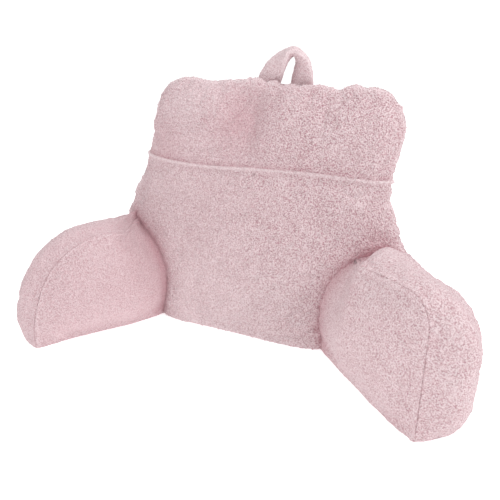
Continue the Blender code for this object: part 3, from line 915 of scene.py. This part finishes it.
class Neighbour:
    """A stuffed body that another one presses against."""

    def __init__(self, nodes):
        self.tree = joined_tree(nodes)

    def gaps(self, points):
        """The distance from each point to the body, none inside it."""
        gap = np.full(len(points), CREASE_SEARCH)
        for index, point in enumerate(points):
            place, normal, _, away = self.tree.find_nearest(Vector(point), CREASE_SEARCH)
            if place is not None:
                outside = (Vector(point) - place).dot(normal) > 0
                gap[index] = away if outside else 0.0
        return gap

    def crease(self, points):
        """How far a wide panel is pressed back beside the body."""
        gap = self.gaps(points)
        return CREASE_DEPTH * dip(gap, CREASE_WIDTH) + HOLLOW_BESIDE * dip(gap, HOLLOW_REACH)

    def painted_crease_shade(self, points):
        """Painted shade in the crease and the hollow beside the body, 0 to 1."""
        gap = self.gaps(points)
        return CREASE_PAINTED_SHADE * dip(gap, CREASE_PAINTED_SHADE_WIDTH) + HOLLOW_PAINTED_SHADE * dip(gap, HOLLOW_REACH)

    def press(self, points):
        """How far the end of a stuffed roll turns in where it meets the body."""
        return PRESS_DEPTH * dip(self.gaps(points), PRESS_WIDTH)


# Making the pieces

def outward(points, faces):
    """Turns a closed shape's faces so that they look outward."""
    a = points[faces[:, 0]]
    total = 0.0
    for k in range(1, faces.shape[1] - 1):
        b = points[faces[:, k]]
        c = points[faces[:, k + 1]]
        total += np.sum(np.cross(a, b) * c)
    return faces if total > 0 else faces[:, ::-1]


def grid_faces(rows, columns, start=0, closed=False):
    r = np.arange(rows - 1)[:, None]
    c = np.arange(columns if closed else columns - 1)[None, :]
    after = (c + 1) % columns
    quads = np.stack([r * columns + c, r * columns + after,
                      (r + 1) * columns + after, (r + 1) * columns + c], axis=2)
    return quads.reshape(-1, 4) + start


def add_piece(name, points, quads, triangles, edge, material):
    """Makes one closed mesh object of quads and triangles, creased along its sewn edge."""
    mesh = bpy.data.meshes.new(name)
    corners = np.concatenate([quads.ravel(), triangles.ravel()])
    starts = np.concatenate([np.arange(len(quads)) * 4,
                             len(quads) * 4 + np.arange(len(triangles)) * 3])
    mesh.vertices.add(len(points))
    mesh.vertices.foreach_set("co", points.ravel())
    mesh.loops.add(len(corners))
    mesh.loops.foreach_set("vertex_index", corners.astype(np.int32))
    mesh.polygons.add(len(starts))
    mesh.polygons.foreach_set("loop_start", starts.astype(np.int32))
    mesh.update(calc_edges=True)
    mesh.validate()
    mesh.shade_smooth()
    ends = np.empty(len(mesh.edges) * 2, dtype=np.int32)
    mesh.edges.foreach_get("vertices", ends)
    sewn = np.isin(ends.reshape(-1, 2), edge).all(axis=1)
    creased = mesh.attributes.new("sharp_edge", "BOOLEAN", "EDGE")
    creased.data.foreach_set("value", sewn)
    piece = bpy.data.objects.new(name, mesh)
    bpy.context.scene.collection.objects.link(piece)
    mesh.materials.append(material)
    return piece


def border(rows, columns):
    """Lists the places round the edge of a grid, in order."""
    index = np.arange(rows * columns).reshape(rows, columns)
    return np.concatenate([index[0, :-1], index[:-1, -1], index[-1, :0:-1], index[:0:-1, 0]])


def close_sheet(face, backing):
    """Closes a fine face with a border strip and a fan behind it."""
    rows, columns = face.shape[:2]
    edge = border(rows, columns)
    points = face.reshape(-1, 3)
    behind = backing.reshape(-1, 3)[edge]
    middle = behind.mean(axis=0)
    inner = middle + (behind - middle) * FAN_SHARE
    count = len(edge)
    first = len(points)
    ring = np.arange(count)
    after = (ring + 1) % count
    strip = np.stack([edge, edge[after], first + after, first + ring], axis=1)
    second = np.stack([first + ring, first + after,
                       first + count + after, first + count + ring], axis=1)
    hub = first + 2 * count
    fan = np.stack([first + count + ring, first + count + after,
                    np.full(count, hub)], axis=1)
    points = np.concatenate([points, behind, inner, middle[None]])
    quads = np.concatenate([grid_faces(rows, columns), strip[:, ::-1], second[:, ::-1]])
    fan = fan[:, ::-1]
    turned = outward(points, quads)
    if turned is not quads:
        fan = fan[:, ::-1]
        quads = turned
    return points, quads, fan, edge


def close_tube(face):
    """Closes a tube of fine rings with a fan at each end."""
    rows, columns = face.shape[:2]
    points = np.concatenate([face.reshape(-1, 3), [face[0].mean(axis=0), face[-1].mean(axis=0)]])
    ring = np.arange(columns)
    after = (ring + 1) % columns
    hub = rows * columns
    last = hub - columns
    low_fan = np.stack([after, ring, np.full(columns, hub)], axis=1)
    high_fan = np.stack([last + ring, last + after, np.full(columns, hub + 1)], axis=1)
    quads = grid_faces(rows, columns, closed=True)
    fan = np.concatenate([low_fan, high_fan])
    turned = outward(points, quads)
    if turned is not quads:
        fan = fan[:, ::-1]
    return points, turned, fan, np.concatenate([ring, last + ring])


def trim_inside(piece, wall, depth):
    """Takes away what lies deep inside a neighbour, and closes the opening again."""
    shape = bmesh.new()
    shape.from_mesh(piece.data)
    deep = []
    for vert in shape.verts:
        place, normal, _, gap = wall.find_nearest(vert.co)
        deep.append(gap > depth and (vert.co - place).dot(normal) < 0)
    shape.verts.ensure_lookup_table()
    doomed = [vert for vert, inside in zip(shape.verts, deep) if inside]
    if doomed:
        bmesh.ops.delete(shape, geom=doomed, context="VERTS")
        open_edges = [edge for edge in shape.edges if edge.is_boundary]
        filled = bmesh.ops.holes_fill(shape, edges=open_edges, sides=0)
        bmesh.ops.triangulate(shape, faces=filled["faces"])
    shape.to_mesh(piece.data)
    shape.free()


# Cloth

def add_node(tree, kind, place=None, **inputs):
    """Adds one texture or range node, set to the values given and laid at the place given."""
    node = tree.nodes.new("ShaderNode" + kind)
    for key, value in inputs.items():
        node.inputs[key.replace("_", " ")].default_value = value
    if place is not None:
        tree.links.new(place, node.inputs["Vector"])
    return node


def add_sum(tree, operation, *values):
    """Adds one sum of numbers and other nodes' outputs, and gives the node."""
    node = tree.nodes.new("ShaderNodeMath")
    node.operation = operation
    for index, value in enumerate(values):
        if isinstance(value, float):
            node.inputs[index].default_value = value
        else:
            tree.links.new(value, node.inputs[index])
    return node


def add_blend(tree, share, end):
    """Adds one blend towards a pink."""
    node = tree.nodes.new("ShaderNodeMix")
    node.data_type = "RGBA"
    node.inputs["B"].default_value = end
    tree.links.new(share, node.inputs["Factor"])
    return node


def read_mark(tree, name):
    """Reads one of the values that the mesh carries for each point."""
    node = tree.nodes.new("ShaderNodeAttribute")
    node.attribute_name = name
    return node.outputs["Fac"]


def fleece_material(name, curl_scale, bump_strength):
    """Curly fleece: deep pink painted shade between the curls, pale painted highlights on the
    tips, plain clouds of tone, painted light and shade read from the mesh, soft sheen and a fine
    nap of hairs in the bump.
    """
    material = bpy.data.materials.new(name)
    material.use_nodes = True
    tree = material.node_tree
    shader = tree.nodes["Principled BSDF"]
    for key, value in CLOTH_TABLE:
        shader.inputs[key].default_value = value
    place = tree.nodes.new("ShaderNodeTexCoord").outputs["Object"]
    curls = add_node(tree, "TexVoronoi", place, Scale=curl_scale)
    curls.feature = "SMOOTH_F1"
    curls.inputs["Smoothness"].default_value = CURL_SMOOTHNESS
    hairs = add_node(tree, "TexNoise", place, Scale=curl_scale * HAIRS_FINER,
                     Detail=HAIRS_DETAIL, Roughness=HAIRS_ROUGHNESS)
    clouds = add_node(tree, "TexNoise", place, Scale=CLOUD_SCALE, Detail=CLOUD_DETAIL)
    # Painted shade between the curls, painted flecks of highlight and shade, and plain clouds of
    # tone
    shares = []
    for source, row in ((curls.outputs["Distance"], PAINTED_CREVICE_SHADE_RANGE),
                        (hairs.outputs["Fac"], PAINTED_FLECK_SHADING_RANGE),
                        (clouds.outputs["Fac"], CLOUD_RANGE)):
        span = add_node(tree, "MapRange", From_Min=row[0], From_Max=row[1],
                        To_Min=row[2], To_Max=row[3])
        tree.links.new(source, span.inputs["Value"])
        shares.append(span.outputs["Result"])
    first = add_sum(tree, "ADD", shares[0], shares[1])
    second = add_sum(tree, "ADD", first.outputs[0], shares[2])
    second.use_clamp = True
    spread = add_sum(tree, "SUBTRACT", second.outputs[0], MIDDLE_TONE)
    tone = add_sum(tree, "MULTIPLY_ADD", spread.outputs[0], read_mark(tree, "curl"), MIDDLE_TONE)
    colour = add_blend(tree, tone.outputs[0], PINK_DEEP)
    colour.inputs["A"].default_value = PINK_LIGHT
    # Painted shade towards deep pink and painted highlight towards pale pink, with some plain
    # tone, as the mesh marks them
    tone_and_painted_light = read_mark(tree, "tone_and_painted_light")
    pale_share = add_sum(tree, "MULTIPLY", tone_and_painted_light, -1.0)
    for share, pink in ((tone_and_painted_light, PINK_DEEP_TONE_AND_PAINTED_SHADE), (pale_share.outputs[0], PINK_PALE_TONE_AND_PAINTED_LIGHT)):
        mix = add_blend(tree, share, pink)
        tree.links.new(colour.outputs["Result"], mix.inputs["A"])
        colour = mix
    tree.links.new(colour.outputs["Result"], shader.inputs["Base Color"])
    high = add_sum(tree, "MULTIPLY_ADD", curls.outputs["Distance"], -1.0, hairs.outputs["Fac"])
    bump = tree.nodes.new("ShaderNodeBump")
    bump.inputs["Strength"].default_value = bump_strength
    bump.inputs["Distance"].default_value = BUMP_DISTANCE
    tree.links.new(high.outputs[0], bump.inputs["Height"])
    tree.links.new(bump.outputs["Normal"], shader.inputs["Normal"])
    return material


COVER = fleece_material("cover_fleece", COVER_CURL_SCALE, COVER_BUMP)
STRAP = fleece_material("strap_fleece", STRAP_CURL_SCALE, STRAP_BUMP)


def mark_cloth(piece, tone_and_painted_light, curl):
    """Notes at each point the painted light and shade, with some plain tone, and how strongly
    the curl pattern shows.

    The first goes from -1 (pale, painted highlight and light) to 1 (deep, painted shade), and a
    curl contrast of 1 is plain.
    """
    for name, share in (("tone_and_painted_light", np.clip(tone_and_painted_light, -1, 1)), ("curl", curl)):
        values = np.full(len(piece.data.vertices), np.mean(share))
        values[:tone_and_painted_light.size] = np.broadcast_to(share, tone_and_painted_light.shape).ravel()
        layer = piece.data.attributes.new(name, "FLOAT", "POINT")
        layer.data.foreach_set("value", values)


def finish_piece(piece, nodes):
    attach(piece, "root")
    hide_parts(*nodes)


def keep_off_floor(points):
    points[..., 2] = np.maximum(points[..., 2], FLOOR_GAP)
    return points


# The backrest

def mid_curve_across(kind):
    def curve(values):
        return back_surface(values, np.array([CURVE_HEIGHT]), kind)[0]
    return curve


def mid_curve_up(kind):
    def curve(values):
        across = CURVE_ACROSS + np.array([-CURVE_STEP, 0.0, CURVE_STEP])
        return back_surface(across, values, kind)[:, 1]
    return curve


def back_seam_points():
    u = np.linspace(-1, 1, BACK_SEAM_SAMPLES)
    top = CREST_HEIGHT - CORNER_FALL
    heights = np.linspace(0, top, BACK_SEAM_SAMPLES)
    rim = back_surface(u, np.array([WAIST_HEIGHT, top]), "rim")
    sides = back_surface(np.array([-1.0, 0.0, 1.0]), heights, "rim")
    waist = back_surface(u, np.array([WAIST_HEIGHT]), "front")[0]
    return np.concatenate([rim[1], sides[:, 0], sides[:, 2], waist])


def rim_ways(backing, runs, to_crest):
    """The way out from the rim seam: sideways at the sides and up at the crest."""
    ahead = np.gradient(backing, axis=0)
    level = np.zeros(len(backing))
    left = unit(np.stack([-ahead[:, 0, 2], level, ahead[:, 0, 0]], axis=1))
    right = unit(np.stack([ahead[:, -1, 2], level, -ahead[:, -1, 0]], axis=1))
    on_left = (runs["left"] < runs["right"])[:, :, None]
    ways = np.where(on_left, left[:, None], right[:, None])
    if not to_crest:
        return ways
    beside = np.gradient(backing[-1], axis=0)
    top = unit(np.stack([-beside[:, 2], np.zeros(len(beside)), beside[:, 0]], axis=1))
    on_top = (runs["last"] < np.minimum(runs["left"], runs["right"]))[:, :, None]
    return np.where(on_top, top[None], ways)


def build_back(arms):
    top = CREST_HEIGHT - CORNER_FALL
    nodes = ("backrest_front", "headrest_front", "rear_panel")
    field = Fullness("back_fullness", nodes, back_seam_points())
    front_u = evenly(mid_curve_across("front"), -1, 1, SHOWN_SPACING)
    rear_u = evenly(mid_curve_across("rear"), -1, 1, HIDDEN_SPACING)
    low = evenly(mid_curve_up("front"), 0, WAIST_HEIGHT, SHOWN_SPACING)
    high = evenly(mid_curve_up("front"), WAIST_HEIGHT, top, SHOWN_SPACING)
    rear_rows = evenly(mid_curve_up("rear"), 0, top, HIDDEN_SPACING)
    made = []
    for name, u, rows, kind in (("lower_front_panel", front_u, low, "front"),
                                ("upper_front_panel", front_u, high, "front"),
                                ("rear_cover_panel", rear_u, rear_rows, "rear")):
        face = back_surface(u, rows, kind)
        backing = back_surface(u, rows, "rim")
        runs = edge_runs(face)
        rim_run = np.minimum(runs["left"], runs["right"])
        to_crest = name != "lower_front_panel"
        if to_crest:
            rim_run = np.minimum(rim_run, runs["last"])
        ways = rim_ways(backing, runs, to_crest)
        normal = turned_at(grid_normals(face, BACK_MIDDLE), rim_run, ways)
        full = on_fourths(field.at, face) * (1 - dip(rim_run, RIM_STILL))[:, :, None]
        out = lumps(face, rim_run) + bulges(face)
        out += RIM_FILL * dip(rim_run, RIM_FILL_WIDTH)
        out += gathers(face, rim_run, *RIM_GATHERS)
        # Painted highlight along the rim seam
        tone_and_painted_light = RIM_PAINTED_HIGHLIGHT * dip(rim_run, RIM_PAINTED_HIGHLIGHT_WIDTH)
        if name == "lower_front_panel":
            out += lip(runs["last"], *WAIST_LIP)
            out += gathers(face, runs["last"], *LOWER_GATHERS)
            # Painted highlight on the turned lip
            tone_and_painted_light += lip(runs["last"], *WAIST_LIP_PAINTED_HIGHLIGHT)
            # Painted light from below, paler towards the floor
            tone_and_painted_light += LOW_PAINTED_LIGHT * dip(face[:, :, 2], LOW_PAINTED_LIGHT_HEIGHT)
        if name == "upper_front_panel":
            out += mounds(face, HEAD_TABLE) * (1 - dip(rim_run, LUMPS_FADE))
            out += WAIST_EDGE * dip(runs["first"], WAIST_EDGE_WIDTH)
            out += gathers(face, runs["first"], *UPPER_GATHERS)
            # Painted shade just above the waist seam, and painted shade and highlight over the
            # head
            tone_and_painted_light += WAIST_PAINTED_SHADE * dip(runs["first"], WAIST_PAINTED_SHADE_WIDTH) + mounds(face, HEAD_PAINTED_SHADING_TABLE)
        for neighbour in arms:
            crease = on_fourths(neighbour.crease, face)[:, :, 0]
            out -= crease * (1 - dip(rim_run, RIM_KEEP))
            # Painted shade in the crease and hollow beside each arm
            tone_and_painted_light += on_fourths(neighbour.painted_crease_shade, face)[:, :, 0]
        if kind == "front":
            out += FLOOR_ROLL * dip(face[:, :, 2], FLOOR_ROLL_HEIGHT)
        out += pile(face, BACK_PILE)
        face = face + full + normal * out[:, :, None]
        points, quads, fan, edge = close_sheet(face, backing)
        made.append(add_piece(name, keep_off_floor(points), quads, fan, edge, COVER))
        across = smooth_step(0.5 + face[:, :, 0] / BACK_CURL_SPAN)
        curl = BACK_CURL_LEFT + (BACK_CURL_RIGHT - BACK_CURL_LEFT) * across
        mark_cloth(made[-1], tone_and_painted_light, curl)
    for piece, node in zip(made, nodes):
        finish_piece(piece, [node])


# The arms

def crowd(count):
    """Spaces values from 0 to 1, closer together at both ends."""
    even = np.linspace(0, 1, count)
    return even - ROW_CROWDING * np.sin(2 * math.pi * even) / (2 * math.pi)


def arm_relief(face, seam, back):
    """What the panels and the gusset of an arm share of lumps, gathers and pile."""
    out = lumps(face, seam) + bulges(face) + SEAM_FILL * dip(seam, SEAM_FILL_WIDTH)
    out += gathers(face, seam, *ARM_GATHERS)
    out -= on_fourths(back.press, face)[:, :, 0]
    out += ARM_FLOOR_ROLL * dip(face[:, :, 2], FLOOR_ROLL_HEIGHT)
    return out + pile(face, ARM_PILE)


def build_arm(arm, back):
    title = "arm_" + arm.name
    half = np.array([0.5])

    def along_curve(outer):
        return lambda values: arm.side_face(outer, values, half)[0]

    def up_curve(outer):
        return lambda values: arm.side_face(outer, half, values)[:, 0]

    seam_points = []
    fine = np.linspace(0, 1, ARM_SEAM_SAMPLES)
    for share, across in ((0.0, SEAM_LIP), (1.0, GUSSET_WIDTH - SEAM_LIP)):
        for line in (arm.top_edge(share, fine), arm.front_edge(share, fine)):
            level = np.full(ARM_SEAM_SAMPLES, across)
            seam_points.append(arm.place(line[:, 0], level, line[:, 1]))
    nodes = (title + "_inner", title + "_gusset", title + "_outer")
    field = Fullness(title + "_fullness", nodes, np.concatenate(seam_points))
    centre = arm.place(*np.array(ARM_MIDDLE).reshape(3, 1))[0]
    arm_tone, curl = ARM_CLOTH[arm.name]
    made = []
    for outer, spacing, node in ((False, SHOWN_SPACING, nodes[0]),
                                 (True, HIDDEN_SPACING, nodes[2])):
        us = evenly(along_curve(outer), 0, 1, spacing)
        vs = evenly(up_curve(outer), 0, 1, spacing)
        face = arm.side_face(outer, us, vs)
        backing = arm.side_wall(outer, us, vs)
        runs = edge_runs(face)
        seam = np.minimum(runs["last"], runs["right"])
        on_top = (runs["last"] < runs["right"])[:, :, None]
        top_way, front_way = arm.panel_ways(outer, us, vs)
        ways = np.where(on_top, top_way[None], front_way[:, None])
        normal = turned_at(grid_normals(face, centre), seam, ways)
        out = arm_relief(face, seam, back)
        out += lip(seam, *PANEL_LIP) - PANEL_DIP * dip(seam, SEAM_DIP_WIDTH)
        # Painted shade in the crease beside the backrest, over the arm's own tone
        tone_and_painted_light = arm_tone + ARM_CREASE_PAINTED_SHADE * on_fourths(back.painted_crease_shade, face)[:, :, 0]
        # Painted highlight on the lip beside the seam
        tone_and_painted_light += lip(seam, *PANEL_LIP_PAINTED_HIGHLIGHT)
        face = face + on_fourths(field.at, face) + normal * out[:, :, None]
        points, quads, fan, edge = close_sheet(face, backing)
        name = title + ("_outer_panel" if outer else "_inner_panel")
        piece = add_piece(name, keep_off_floor(points), quads, fan, edge, COVER)
        mark_cloth(piece, tone_and_painted_light, curl)
        made.append((piece, node))
    made.append((build_gusset(arm, field, centre, title, back), nodes[1]))
    for piece, node in made:
        trim_inside(piece, back.tree, TRIM_DEPTH)
        finish_piece(piece, [node])


def build_gusset(arm, field, centre, title, back):
    sample = np.linspace(0, 1, GUSSET_SAMPLES)
    reach = running_length(arm.top_edge(0.0, sample))[-1]
    height = running_length(arm.front_edge(0.0, sample))[-1]
    floor_share = np.linspace(0, 1, GUSSET_FLOOR_STEPS)
    front_share = np.linspace(0, 1, int(height / SHOWN_SPACING))
    top_share = np.linspace(0, 1, int(reach / SHOWN_SPACING))
    face = arm.gusset(crowd(GUSSET_ROWS), floor_share, front_share, top_share)
    runs = edge_runs(face)
    seam = np.minimum(runs["first"], runs["last"])
    wrapped = np.concatenate([face[:, -2:], face, face[:, :2]], axis=1)
    normal = grid_normals(wrapped, centre)[:, 2:-2]
    on_inner = (runs["first"] < runs["last"])[:, :, None]
    inner_way = arm.loop_ways(False, floor_share, front_share, top_share)
    outer_way = arm.loop_ways(True, floor_share, front_share, top_share)
    normal = turned_at(normal, seam, np.where(on_inner, inner_way[None], outer_way[None]))
    out = arm_relief(face, seam, back) - GUSSET_DIP * dip(seam, SEAM_DIP_WIDTH)
    face = face + on_fourths(field.at, face) + normal * out[:, :, None]
    points, quads, fan, edge = close_tube(face)
    name = title + "_gusset_strip"
    piece = add_piece(name, keep_off_floor(points), quads, fan, edge, COVER)
    arm_tone, curl = ARM_CLOTH[arm.name]
    # Painted shade in the crease beside the backrest, over the arm's own tone
    mark_cloth(piece, arm_tone + ARM_CREASE_PAINTED_SHADE * on_fourths(back.painted_crease_shade, face)[:, :, 0], curl)
    return piece


# The carry handle

def build_handle():
    """The strap: two layers sewn along both edges, twisted half a turn over its arch."""
    step = np.linspace(0, len(HANDLE_TABLE) - 1, int(STRAP_LENGTH / STRAP_SPACING))
    table = [(k,) + row for k, row in enumerate(HANDLE_TABLE)]
    x, y, z, twist = [smooth_table(table, k, step) for k in (1, 2, 3, 4)]
    path = np.stack([x, y - BASE_DEPTH / 2, z], axis=1)
    ahead = np.gradient(path, axis=0)
    ahead[:, 1] = 0.0
    ahead /= np.linalg.norm(ahead, axis=1)[:, None]
    beside = np.stack([-ahead[:, 2], np.zeros_like(step), ahead[:, 0]], axis=1)
    angle = (twist * math.pi)[:, None]
    wide = np.cos(angle) * beside + np.sin(angle) * np.array([0.0, 1.0, 0.0])
    thin = np.cross(ahead, wide)
    around = np.linspace(0, 2 * math.pi, STRAP_COLUMNS, endpoint=False)
    flat = np.sign(np.sin(around)) * np.abs(np.sin(around)) ** STRAP_ROUNDING
    offset = wide[:, None] * np.cos(around)[None, :, None] * HANDLE_WIDTH * STRAP_WIDE
    rise = thin[:, None] * flat[None, :, None] * HANDLE_THICKNESS * STRAP_THICK
    face = path[:, None] + offset + rise
    normal = unit(offset / HANDLE_WIDTH ** 2 + rise / HANDLE_THICKNESS ** 2)
    edge_angle = np.minimum(around, np.minimum(np.abs(around - math.pi),
                                               np.abs(around - 2 * math.pi)))
    seam = np.broadcast_to(edge_angle[None, :] * STRAP_EDGE_RADIUS, face.shape[:2])
    out = pile(face, STRAP_PILE) - STRAP_DIP * dip(seam, SEAM_DIP_WIDTH)
    out += gathers(face, seam, *STRAP_GATHERS)
    face = face + normal * out[:, :, None]
    points, quads, fan, edge = close_tube(face)
    piece = add_piece("carry_strap", points, quads, fan, edge, STRAP)
    # Paler overall and paler still along both sewn edges
    mark_cloth(piece, STRAP_TONE + STRAP_EDGE_PALENESS * dip(seam, STRAP_EDGE_PALENESS_WIDTH), 1.0)
    finish_piece(piece, ["handle"])


# Stage, light and camera

def turn_to(thing, direction, axis):
    """Turns a light or camera so that the named axis of its own looks along a direction."""
    thing.rotation_mode = "QUATERNION"
    thing.rotation_quaternion = direction.to_track_quat(axis, "Y")


def build_lights():
    for name, place, size, power in LIGHT_TABLE:
        data = bpy.data.lights.new(name, "AREA")
        data.shape = "SQUARE"
        data.size = size
        data.energy = power
        light = bpy.data.objects.new(name, data)
        bpy.context.scene.collection.objects.link(light)
        light.location = place
        turn_to(light, Vector(LIGHT_TARGET) - Vector(place), "-Z")


def build_stage():
    mesh = bpy.data.meshes.new("floor")
    half = FLOOR_HALF
    mesh.from_pydata([(-half, -half, 0), (half, -half, 0), (half, half, 0), (-half, half, 0)],
                     [], [(0, 1, 2, 3)])
    floor = bpy.data.objects.new("floor", mesh)
    bpy.context.scene.collection.objects.link(floor)
    paper = bpy.data.materials.new("paper")
    paper.use_nodes = True
    shader = paper.node_tree.nodes["Principled BSDF"]
    for key, value in PAPER_TABLE:
        shader.inputs[key].default_value = value
    mesh.materials.append(paper)
    world = bpy.data.worlds.new("studio")
    world.use_nodes = True
    background = world.node_tree.nodes["Background"]
    background.inputs["Color"].default_value = WHITE
    background.inputs["Strength"].default_value = SKY
    bpy.context.scene.world = world
    build_lights()
    bpy.context.scene.view_settings.view_transform = "Standard"


def build_camera():
    a = math.radians(CAMERA_AZIMUTH)
    e = math.radians(CAMERA_ELEVATION)
    back = Vector((math.sin(a) * math.cos(e), -math.cos(a) * math.cos(e), math.sin(e)))
    data = bpy.data.cameras.new("camera")
    data.sensor_width = SENSOR_WIDTH
    data.lens = CAMERA_LENS
    camera = bpy.data.objects.new("camera", data)
    bpy.context.scene.collection.objects.link(camera)
    camera.location = Vector(CAMERA_TARGET) + back * CAMERA_DISTANCE
    turn_to(camera, back, "Z")
    bpy.context.scene.camera = camera


build_camera()
build_stage()
arm_bodies = [Neighbour([f"arm_{row[0]}_{part}" for part in ("inner", "gusset", "outer")])
              for row in ARM_TABLE]
back_body = Neighbour(["backrest_front", "rear_panel"])
build_back(arm_bodies)
for arm_row in ARM_TABLE:
    build_arm(Arm(arm_row), back_body)
build_handle()
